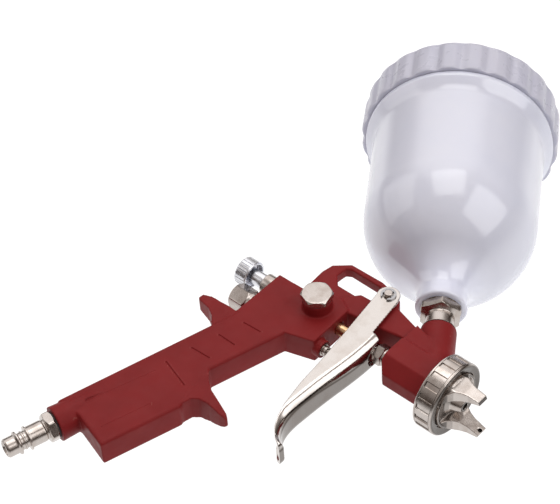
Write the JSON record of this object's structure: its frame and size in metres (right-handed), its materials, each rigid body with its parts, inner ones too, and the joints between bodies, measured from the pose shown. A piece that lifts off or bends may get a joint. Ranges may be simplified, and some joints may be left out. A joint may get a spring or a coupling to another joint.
{
  "type": "hvlp spray gun",
  "caption": "Gravity-feed spray gun with a sloping screw-lid paint cup, horned air cap, channel trigger, hanging hook and a quick-connect air inlet under the grip.",
  "frame": {"origin": "on the spray axis at the tip of the fluid nozzle", "axes": "+X the way it sprays, +Y the cup's side, +Z the gun's right-hand side, up as it lies on its left side"},
  "size_m": [0.1891, 0.3613, 0.1098],
  "materials": {
    "body_paint": "satin burgundy paint on a die casting",
    "nickel": "bright nickel plate",
    "trigger_chrome": "polished chrome on pressed steel",
    "knob_alloy": "turned and knurled",
    "brass": "turned brass",
    "steel": "ground stainless steel",
    "spring_steel": "drawn spring wire",
    "cup_plastic": "milky translucent moulding",
    "lid_plastic": "white moulding",
    "lid_liner": "soft polyethylene disc",
    "seal": "nitrile rubber",
    "ptfe": "PTFE packing",
    "strainer": "moulded mesh strainer"
  },
  "bodies": {
    "gun": {"gun_body": "body_paint", "fluid_nozzle": "nickel", "nozzle_seal": "ptfe", "needle_packing": "ptfe", "packing_nut": "nickel", "knob_guide": "nickel", "needle_spring": "spring_steel", "air_valve_spring": "spring_steel", "valve_gland": "nickel", "air_valve_cap": "nickel", "valve_cap_seal": "seal", "side_plug": "nickel", "side_plug_washer": "seal", "pivot_screw": "nickel", "pivot_clip": "spring_steel", "inlet_nipple": "nickel", "nipple_seal": "seal"},
    "trigger": {"trigger": "trigger_chrome"},
    "needle": {"needle": "steel", "needle_sleeve": "brass"},
    "air_valve": {"air_valve": "nickel", "air_valve_seal": "ptfe"},
    "fluid_knob": {"fluid_knob": "knob_alloy"},
    "air_cap_ring": {"air_cap_ring": "nickel", "cap_clip": "spring_steel"},
    "air_cap": {"air_cap": "nickel"},
    "cup": {"cup": "cup_plastic", "cup_adapter": "nickel", "adapter_seal": "seal", "paint_strainer": "strainer"},
    "lid_seal": {"lid_seal": "lid_liner"},
    "cup_lid": {"cup_lid": "lid_plastic"}
  },
  "joints": [
    {"name": "trigger_pull", "type": "hinge", "parent": "gun", "child": "trigger", "pos_m": [-0.066, 0.027, 0], "axis": [0, 0, -1], "range_deg": [0, 10], "stiffness_Nm_per_rad": 2, "springref_deg": -20.05},
    {"name": "needle_slide", "type": "slide", "parent": "gun", "child": "needle", "axis": [-1, 0, 0], "range_m": [0, 0.0052], "deforming": ["needle_spring"]},
    {"name": "air_valve_slide", "type": "slide", "parent": "gun", "child": "air_valve", "axis": [-1, 0, 0], "range_m": [0, 0.0078], "deforming": ["air_valve_spring"]},
    {"name": "knob_turn", "type": "hinge", "parent": "gun", "child": "fluid_knob", "pos_m": [-0.13, 0, 0], "axis": [-1, 0, 0], "range_deg": [0, 1080]},
    {"name": "ring_turn", "type": "hinge", "parent": "gun", "child": "air_cap_ring", "pos_m": [-0.007, 0, 0], "axis": [1, 0, 0], "range_deg": [0, 720]},
    {"name": "cap_turn", "type": "hinge", "parent": "gun", "child": "air_cap", "pos_m": [-0.005, 0, 0], "axis": [1, 0, 0], "range_deg": [-90, 90]},
    {"name": "cup_turn", "type": "hinge", "parent": "gun", "child": "cup", "pos_m": [-0.04193, 0.03896, 0], "axis": [-0.5592, 0.829, 0], "range_deg": [0, 720]},
    {"name": "lid_lift", "type": "slide", "parent": "cup", "child": "lid_seal", "axis": [-0.5592, 0.829, 0], "range_m": [0, 0.06]},
    {"name": "lid_turn", "type": "hinge", "parent": "lid_seal", "child": "cup_lid", "pos_m": [-0.12749, 0.16581, 0], "axis": [-0.5592, 0.829, 0], "range_deg": [0, 360]}
  ],
  "couplings": [
    {"joint": "needle_slide", "follows": "trigger_pull", "m_per_rad": 0.029},
    {"joint": "air_valve_slide", "follows": "trigger_pull", "m_per_rad": 0.044}
  ]
}
